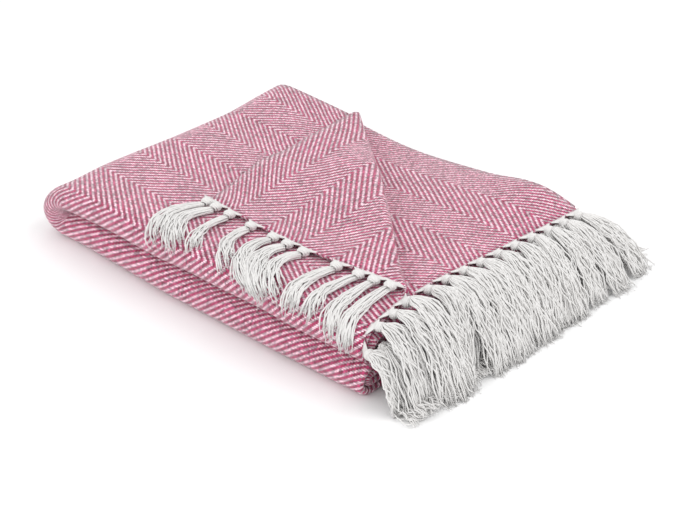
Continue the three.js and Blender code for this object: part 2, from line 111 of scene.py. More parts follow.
# Rises and dips of the pack, as shares of its height: x, y, reach in x, reach in y, rise
SWELLS = [
    (0, 185, 150, 110, -0.02),
    (5, 5, 55, 60, -0.14),
    (20, 330, 60, 60, 0.03),
    (215, 160, 120, 80, -0.03),
    (210, 330, 100, 90, -0.15),
    (380, 335, 42, 60, 0.12),
    (455, 335, 42, 120, -0.14),
    (445, 0, 60, 50, -0.12),
]
SIDE_BOW = 4.0
NOSE_TUCK_SHIFT, NOSE_TUCK_X, NOSE_TUCK_REACH = 3.0, 70.0, 60.0
NOSE_SPREAD, NOSE_SPREAD_REACH = 12.0, 90.0
CORNER_PULL, CORNER_PULL_Y, CORNER_PULL_HALF_DEPTH, CORNER_PULL_RUN = 11.0, 190.0, 150.0, 140.0
SLUMP, SLUMP_FROM_X, SLUMP_RUN, SLUMP_FADE_Y = 14.0, 330.0, 100.0, 200.0

# Weave: distance from warp end to warp end and from pick to pick, and ends in a herringbone band
END_PITCH = 1.547
PICK_PITCH = 2.12
BAND_ENDS = 30
# How far a thread rises over those that it crosses, as a share of a thread's half height
FLOAT_RISE = 0.55
# Near end 1 the warp bows and the weft runs askew, which fades out further along the cloth
END_1_BOW, END_1_BOW_MIDDLE, END_1_SKEW = 12.0, 215.0, 0.13
END_1_UNEVEN_TO, END_1_EVEN_FROM = 430.0, 700.0

# Fringe: warp ends left long and knotted in bundles
YARN_RADIUS = 0.74
KNOT_SPACING = 25.0
KNOT_HEART = 7.5
KNOT_WAIST = 11.0
KNOT_HALF_SIZE = (4.4, 5.2, 4.0)
KNOT_SINK = 2.3
KNOT_TILT = math.radians(28)
THROAT_RADIUS = 2.9
TASSEL_LENGTH = 88.0
FLOOR_CLEARANCE = 0.1
GOLDEN_ANGLE = math.radians(137.508)
# A falling tassel drifts towards the back, the more the nearer it starts to the back edge
BACK_DRIFT_FROM_Y, BACK_DRIFT_RUN, BACK_DRIFT = 235.0, 85.0, 42.0

MM = 0.001
rng = np.random.default_rng(7)


# Folding

def smooth_step(value, low, high):
    share = np.clip((value - low) / (high - low), 0, 1)
    return share * share * (3 - 2 * share)


def fold_over(along, height, start, radius):
    """Folds the cloth beyond start over onto the rest. Height is measured off the sheet."""
    beyond = np.maximum(along - start, 0)
    angle = np.minimum(beyond / radius, math.pi)
    arm = radius - height
    folded = start + arm * np.sin(angle) - np.maximum(0, beyond - math.pi * radius)
    bends = along > start
    return np.where(bends, folded, along), np.where(bends, radius - arm * np.cos(angle), height)


def beyond_crease(u, v):
    """How far a flat point lies past the turned-back corner's crease, towards the corner."""
    x, y = PACK_LENGTH - u, PACK_DEPTH - v
    return (x - CREASE_P[0]) * CREASE_NORMAL[0] + (y - CREASE_P[1]) * CREASE_NORMAL[1]


def along_crease(u, v):
    """Where a flat point lies along the crease, from 0 at P to 1 at Q."""
    x, y = PACK_LENGTH - u, PACK_DEPTH - v
    return -((x - CREASE_P[0]) * CREASE_ALONG[0] + (y - CREASE_P[1]) * CREASE_ALONG[1]) / CREASE_LENGTH


def crease_radius(share):
    return CREASE_RADIUS_P + (CREASE_RADIUS_Q - CREASE_RADIUS_P) * share


def turn_back(x, y, z, beyond, radius):
    """Rolls the corner over its crease, and lets it sink onto the ply below."""
    top = PACK_HEIGHT - PLY_THICKNESS / 2
    angle = np.clip(beyond / radius, 0, math.pi)
    arm = radius - (z - top)
    lying = np.maximum(0, beyond - math.pi * radius)
    shift = arm * np.sin(angle) - lying - beyond
    sunk = (2 * radius - FLAP_RISE) * smooth_step(lying, 0, FLAP_SETTLE_RUN)
    turned = beyond > 0
    return (
        np.where(turned, x + shift * CREASE_NORMAL[0], x),
        np.where(turned, y + shift * CREASE_NORMAL[1], y),
        np.where(turned, top + radius - arm * np.cos(angle) - sunk, z),
    )


def bow_crease(x, y, u, v):
    """The crease bows outwards, and takes the top ply on both sides with it."""
    beyond = beyond_crease(u, v)
    share = np.clip(along_crease(u, v), 0, 1)
    reach = np.minimum(1, np.abs(beyond) / CREASE_BOW_REACH)
    shift = CREASE_BOW * np.sin(math.pi * share) * (1 - reach) ** 2
    top_ply = (u < CLOTH_LENGTH / 4) & (v < CLOTH_WIDTH / 4) & (beyond > -CREASE_BOW_REACH)
    shift = np.where(top_ply, shift, 0)
    return x + shift * CREASE_NORMAL[0], y + shift * CREASE_NORMAL[1]


def bell(dx, dy):
    return np.exp(-dx ** 2 - dy ** 2)


def settle(x, y, z):
    """The pack sinks, swells and leans as soft cloth does. It stays flat on the floor."""
    low = np.clip(1 - z / PACK_HEIGHT, 0, 1)
    x = x - NOSE_SPREAD * low * bell(x / NOSE_SPREAD_REACH, y / NOSE_SPREAD_REACH)
    share = np.ones_like(x)
    for at_x, at_y, reach_x, reach_y, rise in SWELLS:
        share = share + rise * bell((x - at_x) / reach_x, (y - at_y) / reach_y)
    high = np.maximum(0, 2 * z / PACK_HEIGHT - 1)
    along = np.clip(x / PACK_LENGTH, 0, 1)
    near_front = np.maximum(0, 1 - y / SLUMP_FADE_Y)
    near_end = np.clip((x - SLUMP_FROM_X) / SLUMP_RUN, 0, 1)
    tuck = NOSE_TUCK_SHIFT * np.exp(-((x - NOSE_TUCK_X) / NOSE_TUCK_REACH) ** 2)
    off_middle = (y - CORNER_PULL_Y) / CORNER_PULL_HALF_DEPTH
    near_fold = np.clip(1 - x / CORNER_PULL_RUN, 0, 1)
    settled_y = y + (tuck - SIDE_BOW * np.sin(math.pi * along)) * low * near_front
    settled_y = settled_y + SLUMP * near_end ** 2 * near_front * high
    settled_x = x - CORNER_PULL * near_fold * off_middle ** 2
    return soften(settled_x, settled_y, z * share)


# Soft creases in the settled pack: from x, y to x, y, half width, height (a dip is below 0)
SOFT_CREASES = [
    ((30, 290), (200, 235), 16, 1.4),
    ((20, 240), (170, 200), 18, -1.5),
    ((45, 180), (200, 150), 20, 1.1),
    ((90, 300), (300, 120), 14, -0.7),
    ((60, 95), (330, 52), 17, 1.0),
    ((90, 60), (420, 40), 12, -0.9),
    ((250, 300), (400, 235), 18, 1.3),
    ((330, 315), (425, 190), 15, -1.2),
    ((300, 180), (430, 120), 20, 1.2),
    ((210, 120), (330, 110), 22, -1.0),
    ((10, 70), (60, 20), 16, 1.6),
    ((150, 170), (260, 250), 26, 0.9),
]
SOFT_CREASE_DEPTH = 45.0
# The sides sway in and out between the floor and the top, near the front and the long fold's end
SWAY, RIPPLE = 5.0, 3.0
SWAY_DEPTH_Y, SWAY_DEPTH_X = 80.0, 120.0


def soften(x, y, z):
    """Adds the shallow creases that hands leave, strongest on top, and slight unevenness at the sides."""
    rise = np.zeros_like(x)
    for (x0, y0), (x1, y1), half_width, height in SOFT_CREASES:
        length = math.hypot(x1 - x0, y1 - y0)
        ax, ay = (x1 - x0) / length, (y1 - y0) / length
        run = ((x - x0) * ax + (y - y0) * ay) / length
        off = -(x - x0) * ay + (y - y0) * ax + 6 * np.sin(2.5 * run)
        ends = np.exp(-((np.abs(run - 0.5) / 0.55) ** 4))
        rise = rise + height * np.exp(-((off / half_width) ** 2)) * ends
    high = np.clip((z - PACK_HEIGHT + SOFT_CREASE_DEPTH) / SOFT_CREASE_DEPTH, 0, 1.2)
    level = np.clip(z / PACK_HEIGHT, 0, 1)
    middle = level * (1 - level)
    sway_y = SWAY * middle * np.sin(x / 31 + 1.1 * np.sin(x / 53))
    sway_y = sway_y + RIPPLE * middle * np.sin(x / 17 + z / 21)
    sway_x = SWAY * middle * np.sin(y / 29 + 1.3 * np.sin(y / 41)) * np.clip(1 - x / SWAY_DEPTH_X, 0, 1)
    front = np.clip(1 - y / SWAY_DEPTH_Y, 0, 1)
    return x + sway_x, y + sway_y * front, z + rise * high * high


def place(u, v, w):
    """The folded place of points of the cloth. w is the height off the middle of the sheet."""
    x, y, z = (np.array(a, float) for a in np.broadcast_arrays(u, v, w))
    x, z = fold_over(x, z, FOLD_START["end to end"], BEND_RADIUS["end to end"])
    y, z = fold_over(y, z, FOLD_START["first across"], BEND_RADIUS["first across"])
    y, z = fold_over(y, z, FOLD_START["second across"], BEND_RADIUS["second across"])
    x, z = fold_over(x, z, FOLD_START["lengthwise"], BEND_RADIUS["lengthwise"])
    x, y, z = PACK_LENGTH - x, PACK_DEPTH - y, PACK_HEIGHT - PLY_THICKNESS / 2 - z
    x, y, z = turn_back(x, y, z, beyond_crease(u, v), crease_radius(along_crease(u, v)))
    x, y = bow_crease(x, y, u, v)
    return np.stack(settle(x, y, z), axis=-1)


def outline(u, v):
    """Moves the ends and the second ply's edge of the flat cloth to where they stop in the pack."""
    from_end_1 = np.maximum(0, 1 - u / SETBACK_RUN)
    from_end_2 = np.maximum(0, 1 - (CLOTH_LENGTH - u) / SETBACK_RUN)
    end_1 = np.interp(v, END_SETBACK[:, 0], END_SETBACK[:, 1])
    end_2 = np.interp(v, END_SETBACK[:, 0], END_SETBACK[:, 2])
    inset = SECOND_PLY_INSET * np.minimum(1, 2 * from_end_2)
    inset = inset * np.maximum(0, 1 - v / FOLD_START["second across"])
    bowed = bell((u - EDGE_BOW_MIDDLE) / EDGE_BOW_REACH, 0) * np.minimum(1, u / EDGE_BOW_FADE_IN)
    inset = inset - EDGE_BOW * bowed * np.maximum(0, 1 - v / EDGE_BOW_DEPTH)
    return u + end_1 * from_end_1 - end_2 * from_end_2, v + inset


def edge_point(end, v, out, w=0.0):
    """A point out from the cloth's fringed edge, at the place v across it."""
    edge = 0.0 if end == 1 else CLOTH_LENGTH
    u, v = outline(np.full_like(np.asarray(v, float), edge), np.asarray(v, float))
    return place(u - out if end == 1 else u + out, v, w)


# Meshes

def make_piece(name, points, faces, uvs, material):
    """A mesh from points in the pack frame (mm), faces, and for each face its corners' UVs."""
    mesh = bpy.data.meshes.new(name)
    mesh.from_pydata(((points - pack_origin) * MM).tolist(), [], faces)
    for layer, values in uvs.items():
        mesh.uv_layers.new(name=layer).data.foreach_set("uv", values.astype(np.float32).ravel())
    mesh.polygons.foreach_set("use_smooth", np.ones(len(faces), bool))
    mesh.materials.append(material)
    mesh.update()
    piece = bpy.data.objects.new(name, mesh)
    bpy.context.scene.collection.objects.link(piece)
    return piece


# Cloth

CELL = 9.0
BEND_STEPS = {"end to end": 6, "first across": 8, "second across": 14, "lengthwise": 16}


def fold_stops(total, quarter, half, quarter_steps, half_steps):
    """Grid lines along one way of the cloth: even on the straights, closer round the bends."""
    stretches = [
        (0, quarter, None),
        (quarter, total / 2 - quarter, quarter_steps),
        (total / 2 - quarter, half, None),
        (half, total - half, half_steps),
        (total - half, total / 2 + quarter, None),
        (total / 2 + quarter, total - quarter, quarter_steps),
        (total - quarter, total, None),
    ]
    lines = [0.0]
    for start, end, steps in stretches:
        steps = steps or max(1, round((end - start) / CELL))
        lines.extend(np.linspace(start, end, steps + 1)[1:])
    return np.array(lines)


def split_cell(corners, angle):
    """Splits a flat cell along the line where the turned-back cloth has gone a given angle round."""
    past = [
        beyond_crease(c[0], c[1]) - angle * crease_radius(along_crease(c[0], c[1])) for c in corners
    ]
    below, above = [], []
    for i, (a, past_a) in enumerate(zip(corners, past)):
        b, past_b = corners[(i + 1) % len(corners)], past[(i + 1) % len(corners)]
        (below if past_a < 0 else above).append(a)
        if (past_a < 0) != (past_b < 0):
            share = past_a / (past_a - past_b)
            cut = a + share * (b - a)
            below.append(cut)
            above.append(cut)
    return [cell for cell in (below, above) if len(cell) > 2]


def cloth_cells():
    """Flat cells of the cloth. A corner has its place in the pack's layout, and in the weave."""
    along = fold_stops(
        CLOTH_LENGTH, FOLD_START["lengthwise"], FOLD_START["end to end"],
        BEND_STEPS["lengthwise"], BEND_STEPS["end to end"],
    )
    across = fold_stops(
        CLOTH_WIDTH, FOLD_START["second across"], FOLD_START["first across"],
        BEND_STEPS["second across"], BEND_STEPS["first across"],
    )
    weave_u, weave_v = np.meshgrid(along, across, indexing="ij")
    flat_u, flat_v = outline(weave_u, weave_v)
    grid = np.stack([flat_u, flat_v, weave_u, weave_v], axis=-1)
    past = beyond_crease(flat_u, flat_v)
    corners = list(grid.reshape(-1, 4))
    number = {}

    def index_of(corner):
        key = (round(corner[2] * 100), round(corner[3] * 100))
        if key not in number:
            number[key] = len(corners)
            corners.append(corner)
        return number[key]

    cells = []
    columns = len(across)
    widest_roll = math.pi * CREASE_RADIUS_P
    for i in range(len(along) - 1):
        for j in range(columns - 1):
            ids = [i * columns + j, (i + 1) * columns + j, (i + 1) * columns + j + 1, i * columns + j + 1]
            reach = past[i:i + 2, j:j + 2]
            if reach.max() < 0 or reach.min() > widest_roll:
                cells.append(ids)
                continue
            for k in ids:
                number[(round(corners[k][2] * 100), round(corners[k][3] * 100))] = k
            pieces = [[corners[k] for k in ids]]
            for step in range(CREASE_STEPS + 1):
                angle = math.pi * step / CREASE_STEPS
                pieces = [part for whole in pieces for part in split_cell(whole, angle)]
            for piece in pieces:
                ring = [index_of(corner) for corner in piece]
                ring = [k for n, k in enumerate(ring) if k != ring[n - 1]]
                if len(ring) > 2:
                    cells.append(ring)
    return np.array(corners), cells


def cloth_faces(cells, count):
    """Closes the cells into a sheet: a face on each side, and a wall along every open edge."""
    sides = {}
    for ring in cells:
        for a, b in zip(ring, ring[1:] + ring[:1]):
            sides[(a, b)] = True
    faces = [list(reversed(ring)) for ring in cells]
    faces += [[k + count for k in ring] for ring in cells]
    rim = [[a, b, b + count, a + count] for a, b in sides if (b, a) not in sides]
    return faces + rim


def in_weave(u, v):
    """Where a flat point lies in the weave, along the warp and across it."""
    uneven = 1 - smooth_step(u, END_1_UNEVEN_TO, END_1_EVEN_FROM)
    bow = END_1_BOW * (np.minimum(u, END_1_UNEVEN_TO) / END_1_BOW_MIDDLE - 1) ** 2
    return np.stack([u + END_1_SKEW * v * uneven, v + bow * uneven], axis=-1)


def make_throw(material):
    corners, cells = cloth_cells()
    count = len(corners)
    half = PLY_THICKNESS / 2
    points = np.concatenate([place(corners[:, 0], corners[:, 1], w) for w in (-half, half)])
    faces = cloth_faces(cells, count)
    order = np.concatenate(faces)
    flat = corners[order % count][:, 2:]
    reverse = order < count
    weave = in_weave(flat[:, 0], flat[:, 1])
    weave[:, 0] += np.where(reverse, 2 * PICK_PITCH, 0)  # the back shows the weave's other side
    bake = flat + np.where(reverse, 0, 1)[:, None] * [0, CLOTH_WIDTH + 10]
    bake = (bake + 5) / (2 * CLOTH_WIDTH + 20)
    uvs = {"weave": weave * MM, "OFBake": bake}
    return make_piece("herringbone_throw", points, faces, uvs, material)


# Yarns

class Yarns:
    """Gathers round yarns into one mesh."""

    def __init__(self):
        self.points, self.faces, self.uvs, self.count = [], [], [], 0

    def add(self, paths, reference, radius=YARN_RADIUS, sides=5, taper=0.5):
        """A row of paths is one yarn's places. No yarn runs in the direction of reference."""
        paths = np.asarray(paths, float)
        yarns, stations, _ = paths.shape
        radius = np.broadcast_to(radius, (yarns, stations)).copy()
        radius[:, -1] *= taper
        tangent = np.gradient(paths, axis=1)
        tangent /= np.linalg.norm(tangent, axis=-1, keepdims=True) + 1e-9
        side = np.asarray(reference, float) - tangent * (tangent @ np.asarray(reference, float))[..., None]
        side /= np.linalg.norm(side, axis=-1, keepdims=True) + 1e-9
        up = np.cross(side, tangent)
        turn = np.arange(sides) * 2 * math.pi / sides
        ring = np.cos(turn)[:, None] * side[..., None, :] + np.sin(turn)[:, None] * up[..., None, :]
        ring = paths[..., None, :] + ring * radius[..., None, None]
        ring[..., 2] = np.maximum(ring[..., 2], FLOOR_CLEARANCE)
        gone = np.cumsum(np.linalg.norm(np.diff(paths, axis=1), axis=-1), axis=1)
        length = np.concatenate([np.zeros((yarns, 1)), gone], axis=1) * MM
        first = np.arange(yarns)[:, None, None] * stations * sides
        row = np.arange(stations - 1)[None, :, None] * sides
        k = np.arange(sides)[None, None, :]
        following = (k + 1) % sides
        quads = np.stack([
            first + row + k, first + row + following,
            first + row + sides + following, first + row + sides + k,
        ], axis=-1).reshape(-1, 4) + self.count
        around = np.stack([k, k + 1, k + 1, k], axis=-1) / sides
        around = np.broadcast_to(around, (yarns, stations - 1, sides, 4))
        start, end = length[:, :-1, None], length[:, 1:, None]
        start, end = (np.broadcast_to(a, (yarns, stations - 1, sides)) for a in (start, end))
        offset = rng.uniform(0, 1, (yarns, 1, 1))
        along = np.stack([start + offset, start + offset, end + offset, end + offset], axis=-1)
        self.points.append(ring.reshape(-1, 3))
        self.faces.extend(quads.tolist())
        self.uvs.append(np.stack([around, along], axis=-1).reshape(-1, 2))
        caps = np.arange(yarns)[:, None] * stations * sides + np.arange(sides) + self.count
        ends = np.concatenate([caps[:, ::-1], caps + (stations - 1) * sides])
        self.faces.extend(ends.tolist())
        self.uvs.append(np.zeros((ends.size, 2)))
        self.count += yarns * stations * sides

    def piece(self, name, material):
        return make_piece(
            name, np.concatenate(self.points), self.faces, {"yarn": np.concatenate(self.uvs)}, material,
        )


def waves(count, run, amplitude, longest=46.0):
    """Gentle sideways wander for each of count yarns at the distances run, none at the knot."""
    phase = rng.uniform(0, 2 * math.pi, (2, count, 1))
    pace = rng.uniform(0.75, 1.3, (2, count, 1))
    wander = np.sin(2 * math.pi * run * pace[0] / longest + phase[0])
    wander = wander + 0.5 * np.sin(2 * math.pi * run * pace[1] / (0.45 * longest) + phase[1])
    wander = wander - wander[:, :1]
    return amplitude * wander * smooth_step(run, 0, 0.6 * TASSEL_LENGTH)


def bundle(share, half_width, half_height, twist):
    """Sideways places and heights of a tassel's yarns. A row of share is one yarn's stations."""
    count = len(share)
    turn = np.arange(count)[:, None] * GOLDEN_ANGLE + twist * share
    turn = turn + 0.5 * np.sin(2.5 * share + rng.uniform(0, 2 * math.pi, (count, 1)))
    reach = np.sqrt((np.arange(count)[:, None] + 0.5) / count)
    sideways = half_width * reach * np.cos(turn)
    height = half_height * (1 + reach * np.sin(turn))
    return sideways, height


def add_knot(yarns, end, v, size=1.0, wraps=6, streaks=16, flat=1.0):
    """A knot of warp ends: they run together from the cloth's edge, and a band wraps the lump."""
    heart = edge_point(end, v, KNOT_HEART)
    outwards = heart - edge_point(end, v, KNOT_HEART - 2.0)
    outwards /= np.linalg.norm(outwards)
    normal = edge_point(end, v, KNOT_HEART, 1.0) - heart
    upper_side = -1 if normal[2] < 0 else 1
    normal = upper_side * (normal - outwards * (normal @ outwards))
    normal /= np.linalg.norm(normal)
    across = np.cross(normal, outwards)
    half_length, half_width, half_height = KNOT_HALF_SIZE
    lump = np.array([half_length, half_width, half_height * flat]) * size
    centre = heart + normal * (lump[2] - KNOT_SINK * flat)
    turn = np.linspace(0, 2 * math.pi, 21)
    slots = (np.arange(wraps) - (wraps - 1) / 2) / max(1, wraps / 2)
    tilt = KNOT_TILT + rng.uniform(-0.2, 0.2)
    paths = []
    for slot in slots:
        girth = math.sqrt(max(0.05, 1 - (0.92 * slot) ** 2)) * (1 + rng.uniform(-0.04, 0.04))
        slant = 0.35 * np.sin(turn + rng.uniform(-0.3, 0.3))
        out = lump[0] * 0.92 * slot + lump[0] * slant * math.sin(tilt) * girth * 1.6
        paths.append(
            centre
            + outwards * out[:, None]
            + across * (lump[1] * girth * np.cos(turn))[:, None]
            + normal * (lump[2] * girth * np.sin(turn))[:, None]
        )
    yarns.add(paths, outwards, radius=YARN_RADIUS * 1.25, sides=6, taper=1.0)
    if streaks:
        places = v + np.linspace(-0.47, 0.47, streaks) * KNOT_SPACING
        roots = edge_point(end, places, -1.5, 0.3 * PLY_THICKNESS * upper_side)
        way = np.sign((roots[-1] - roots[0]) @ across)
        gathered = centre - outwards * 2.5 + across * np.linspace(-2.2, 2.2, streaks)[:, None] * way
        share = np.linspace(0, 1, 5)[None, :, None]
        paths = roots[:, None, :] * (1 - share) + gathered[:, None, :] * share
        yarns.add(paths, np.cross(outwards, normal) * 0.3 + normal, radius=YARN_RADIUS * 0.85)


def add_frays(yarns, paths, reference, hairs=2, length=5.0):
    """Each yarn ends in a few loose fibres."""
    tips = paths[:, -1]
    tangent = tips - paths[:, -3]
    tangent /= np.linalg.norm(tangent, axis=-1, keepdims=True)
    for _ in range(hairs):
        stray = rng.normal(0, 0.42, tangent.shape)
        stray[:, 2] -= 0.1
        reach = length * rng.uniform(0.5, 1.2, (len(tips), 1))
        middle = tips + (tangent + 0.5 * stray) * reach * 0.5
        end = tips + (tangent + stray) * reach
        hair = np.stack([tips - tangent, middle, end], axis=1)
        hair[..., 2] = np.maximum(hair[..., 2], 0.5)
        yarns.add(hair, reference, radius=0.34, sides=3, taper=0.4)


# Turned-back corner's tassels: knot's place on the edge, drift along the pack at the middle and
# at the tip, where the tip ends on the front fold if that is rolled out flat, half width at the
# middle and at the tip, yarns, twist (radians)
FLAP_TASSELS = [
    (3, -15, 0, 6, 9, 13, 34, 0.5),
    (17, -12, 9, 4, 8, 12, 32, -0.6),
    (38, -3, 10, 9, 5, 7, 24, 1.6),
    (70, 0, 22, 8, 5.5, 8, 24, 1.0),
    (101, -5, 21, 2, 8, 9, 30, -0.6),
    (120, -6, 23, 0, 10, 10, 36, 0.5),
    (141, -7, 19, 3, 8, 8, 30, -0.4),
    (182, -8, 2, 0, 7, 8, 28, 0.9),
    (207, -9, -2, 2, 6.5, 9, 26, -0.7),
    (224, -4, 5, -5, 6, 9, 26, 0.6),
    (241, -4, 4, -8, 6.5, 7, 28, -0.5),
]
FLAP_STATIONS = 22
FLAP_LIFT_RUN = 24


def over_front(x, y, clearance):
    """Lays a place on the top ply and, where y is in front of it, round the front fold."""
    angle = np.clip((FRONT_BULGE - y) / FRONT_BULGE, 0, math.pi)
    arm = FRONT_BULGE + clearance
    laid_y = np.where(angle > 0, FRONT_BULGE - arm * np.sin(angle), y)
    laid_z = np.where(angle > 0, PACK_HEIGHT - FRONT_BULGE + arm * np.cos(angle), PACK_HEIGHT + clearance)
    return np.stack(settle(x + 0 * y, laid_y, laid_z), axis=-1)


def flap_tassel(yarns, tassel):
    """Yarns that lie on the top ply and bend down over the front fold."""
    v, middle, tip, end_y, middle_half, tip_half, count, twist = tassel
    add_knot(yarns, 1, v)
    waist = edge_point(1, v, KNOT_WAIST)
    share = np.linspace(0, 1, FLAP_STATIONS)[None, :] * rng.uniform(0.88, 1.06, (count, 1))
    run = share * TASSEL_LENGTH
    bend, curve = 4 * middle - tip, 2 * tip - 4 * middle
    x = waist[0] + bend * share + curve * share ** 2
    y = waist[1] + (end_y - waist[1]) * share
    along_x, along_y = bend + 2 * curve * share, end_y - waist[1]
    length = np.hypot(along_x, along_y)
    half_width = np.interp(share, [0, 0.14, 0.5, 1], [THROAT_RADIUS, 4.4, middle_half, tip_half])
    half_height = np.interp(share, [0, 0.2, 0.6, 1], [THROAT_RADIUS, 3.0, 2.4, 1.5])
    sideways, height = bundle(share, half_width, half_height, twist)
    sideways = sideways + waves(count, run, 0.8)
    sideways = sideways + rng.normal(0, 2.5, (count, 1)) * smooth_step(share, 0.6, 1.0)
    x = x - sideways * along_y / length
    y = y + sideways * along_x / length
    laid = over_front(x, y, YARN_RADIUS + 0.5 + height)
    lift = waist[2] - 1.0 - over_front(waist[0], waist[1], THROAT_RADIUS)[2]
    laid[..., 2] += lift * (1 - smooth_step(run, 0, FLAP_LIFT_RUN))
    yarns.add(laid, (1, 0, 0), taper=0.6)
    add_frays(yarns, laid, (1, 0, 0))


def back_drift(y):
    """How far a falling tassel drifts towards the back, by where it starts."""
    return BACK_DRIFT * np.clip((y - BACK_DRIFT_FROM_Y) / BACK_DRIFT_RUN, 0, 1) ** 2


def falling_tassel(yarns, row, v, end_x, swing=0.0, curl=0.0):
    """Yarns that leave the pack's end, fall to the floor and lie there."""
    add_knot(yarns, row["end"], v, **row["knot"])
    waist = edge_point(row["end"], v, KNOT_WAIST)
    count = row["yarns"]
    share = np.linspace(0, 1, row["stations"])[None, :] * rng.uniform(0.9, 1.04, (count, 1))
    run = share * TASSEL_LENGTH
    x = waist[0] + (end_x - waist[0]) * share
    fall_x = max(waist[0], row["fall_x"])
    fallen = np.clip((x - fall_x) / ((row["floor_x"] or end_x) - fall_x), 0, 1)
    z = row["level"] + (waist[2] + 1 - row["level"]) * (1 - fallen ** row["curve"])
    half_width = np.interp(share, [0, 0.1, 0.3, 1], [THROAT_RADIUS, *row["half_widths"]])
    half_height = np.interp(share, [0, 0.15, 0.5, 1], [THROAT_RADIUS, 3.0, 2.6, 2.0])
    sideways, height = bundle(share, half_width, half_height, rng.uniform(-0.8, 0.8))
    sideways = sideways + waves(count, run, row["wander"])
    sideways = sideways + rng.normal(0, 3.0, (count, 1)) * smooth_step(share, 0.5, 1.0)
    drift = (back_drift(waist[1]) + swing) * share ** 1.2 + curl * np.sin(math.pi * share)
    y = waist[1] + drift + sideways
    height = YARN_RADIUS + height + np.abs(waves(count, run, row["wander"] * 0.6))
    tilt = np.arctan(np.gradient(z, axis=1) / np.gradient(x, axis=1))
    x = x - height * np.sin(tilt)
    z = np.maximum(z + height * np.cos(tilt), YARN_RADIUS + 0.15)
    laid = np.stack([x, y, z], axis=-1)
    yarns.add(laid, (0, 1, 0), sides=row["sides"], taper=0.6)
    if row["frays"]:
        add_frays(yarns, laid, (0, 1, 0))


# Materials

class NodeBench:
    """Places nodes in a tree and joins them, one call a node."""

    def __init__(self, tree):
        self.tree = tree

    def node(self, kind, inputs=None, **settings):
        made = self.tree.nodes.new(kind)
        for name, value in settings.items():
            setattr(made, name, value)
        for name, value in (inputs or {}).items():
            self.join(value, made.inputs[name])
        return made

    def join(self, value, socket):
        if isinstance(value, bpy.types.NodeSocket):
            self.tree.links.new(value, socket)
        else:
            socket.default_value = value

    def math(self, operation, *values, clamp=False):
        made = self.node("ShaderNodeMath", operation=operation, use_clamp=clamp)
        for value, socket in zip(values, made.inputs):
            self.join(value, socket)
        return made.outputs[0]

    def mix(self, share, first, second, blend="MIX"):
        made = self.node("ShaderNodeMix", data_type="RGBA", blend_type=blend)
        self.join(share, made.inputs["Factor"])
        self.join(first, made.inputs[6])
        self.join(second, made.inputs[7])
        return made.outputs[2]


def new_group(name, inputs, outputs):
    tree = bpy.data.node_groups.new(name, "ShaderNodeTree")
    for label, kind, value in inputs:
        socket = tree.interface.new_socket(label, in_out="INPUT", socket_type=kind)
        if value is not None:
            socket.default_value = value
    for label, kind in outputs:
        tree.interface.new_socket(label, in_out="OUTPUT", socket_type=kind)
    bench = NodeBench(tree)
    return tree, bench, bench.node("NodeGroupInput").outputs, bench.node("NodeGroupOutput").inputs


def herringbone_group():
    """Two-and-two twill in bands that lean left and right: where warp shows, height, and tones."""
    tree, b, given, out = new_group(
        "herringbone weave",
        [
            ("Cloth", "NodeSocketVector", None),
            ("End Pitch", "NodeSocketFloat", END_PITCH * MM),
            ("Pick Pitch", "NodeSocketFloat", PICK_PITCH * MM),
            ("Band Ends", "NodeSocketFloat", BAND_ENDS),
            ("Wander", "NodeSocketFloat", 0.0005),
        ],
        [
            ("Warp", "NodeSocketFloat"), ("Height", "NodeSocketFloat"),
            ("End Tone", "NodeSocketFloat"), ("Pick Tone", "NodeSocketFloat"),
            ("Crossing Tone", "NodeSocketFloat"),
        ],
    )
    wander = b.node("ShaderNodeTexNoise", {"Vector": given["Cloth"], "Scale": 70.0, "Detail": 1.0})
    shift = b.node(
        "ShaderNodeVectorMath",
        {0: wander.outputs["Color"], 1: (0.5, 0.5, 0.5)}, operation="SUBTRACT",
    ).outputs[0]
    shift = b.node(
        "ShaderNodeVectorMath", {0: shift, "Scale": given["Wander"]}, operation="SCALE",
    ).outputs[0]
    place_in = b.node("ShaderNodeVectorMath", {0: given["Cloth"], 1: shift}, operation="ADD").outputs[0]
    split = b.node("ShaderNodeSeparateXYZ", {0: place_in}).outputs
    pick = b.math("DIVIDE", split["X"], given["Pick Pitch"])
    end = b.math("DIVIDE", split["Y"], given["End Pitch"])
    pick_number, end_number = b.math("FLOOR", pick), b.math("FLOOR", end)
    pick_part, end_part = b.math("FRACT", pick), b.math("FRACT", end)
    leaning = b.math("PINGPONG", end, given["Band Ends"])
    leaning_number = b.math("FLOOR", leaning)
    quarter = math.pi / 2

    def rise(crossing):
        return b.math("COSINE", b.math("MULTIPLY", b.math("SUBTRACT", crossing, 1.0), quarter))

    warp_rise = rise(b.math("ADD", leaning_number, pick))
    weft_rise = rise(b.math("ADD", leaning, pick_number))

    def roundness(part):
        off = b.math("MULTIPLY_ADD", part, 2.0, -1.0)
        return b.math("SQRT", b.math("SUBTRACT", 1.0, b.math("MULTIPLY", off, off), clamp=True))

    warp_height = b.math("MULTIPLY_ADD", warp_rise, FLOAT_RISE, roundness(end_part))
    weft_height = b.math("MULTIPLY_ADD", weft_rise, -FLOAT_RISE, roundness(pick_part))
    gap = b.math("SUBTRACT", warp_height, weft_height)
    b.join(b.math("MULTIPLY_ADD", gap, 3.0, 0.32, clamp=True), out["Warp"])
    b.join(b.math("MAXIMUM", warp_height, weft_height), out["Height"])
    for number, name in ((end_number, "End Tone"), (pick_number, "Pick Tone")):
        tone = b.node("ShaderNodeTexWhiteNoise", {"W": number}, noise_dimensions="1D").outputs["Value"]
        b.join(tone, out[name])
    crossing = b.node("ShaderNodeCombineXYZ", {0: pick_number, 1: end_number}).outputs[0]
    tone = b.node("ShaderNodeTexWhiteNoise", {"Vector": crossing}, noise_dimensions="2D").outputs["Value"]
    b.join(tone, out["Crossing Tone"])
    return tree


